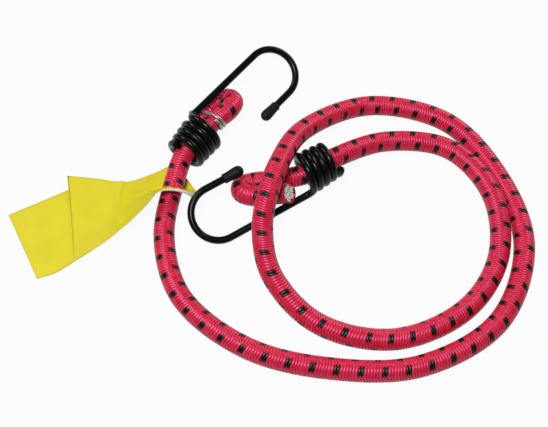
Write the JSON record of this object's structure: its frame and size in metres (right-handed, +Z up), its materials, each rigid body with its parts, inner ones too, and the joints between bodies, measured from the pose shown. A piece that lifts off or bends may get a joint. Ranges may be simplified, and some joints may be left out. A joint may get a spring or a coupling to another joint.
{
  "type": "bungee cord",
  "caption": "Braided elastic tie-down cord lying in loose loops, with a coiled wire hook on each end and a paper tag threaded on it.",
  "frame": {"origin": "middle of the lying cord's outline, on the table", "axes": "+Z up from the table, +X along the longer side of the loops, +Y away from the viewer"},
  "size_m": [0.249, 0.1753, 0.0304],
  "materials": {
    "red_braid": "woven polyester yarn with a sheen",
    "core_rubber": "matt natural rubber",
    "black_wire": "gloss dip coating",
    "black_rubber": "satin",
    "zinc_wire": "zinc plated",
    "yellow_tag": "coated, creased"
  },
  "bodies": {
    "cord": {"cord_sheath": "red_braid", "core_strand_1": "core_rubber", "core_strand_2": "core_rubber", "core_strand_3": "core_rubber", "core_strand_4": "core_rubber", "core_strand_5": "core_rubber", "core_strand_6": "core_rubber", "core_strand_7": "core_rubber", "crimp_ring_a": "zinc_wire", "crimp_ring_b": "zinc_wire"},
    "hook_a": {"hook_a_wire": "black_wire", "hook_a_tip_cap": "black_rubber"},
    "hook_b": {"hook_b_wire": "black_wire", "hook_b_tip_cap": "black_rubber"},
    "tag": {"tag": "yellow_tag"}
  },
  "joints": [
    {"name": "hook_a_swivel", "type": "hinge", "parent": "cord", "child": "hook_a", "pos_m": [-0.03087, 0.03941, 0.01095], "axis": [0.5772, 0.8123, 0.0837], "range_deg": [0, 136]},
    {"name": "hook_b_swivel", "type": "hinge", "parent": "cord", "child": "hook_b", "pos_m": [0.0173, 0.01405, 0.01095], "axis": [-0.8546, -0.5145, -0.0698], "range_deg": [-60, 3]},
    {"name": "tag_swing", "type": "hinge", "parent": "cord", "child": "tag", "pos_m": [-0.0452, 0.0082, 0.0064], "axis": [0.1107, 0.991, 0.0755], "range_deg": [0, 65]}
  ]
}
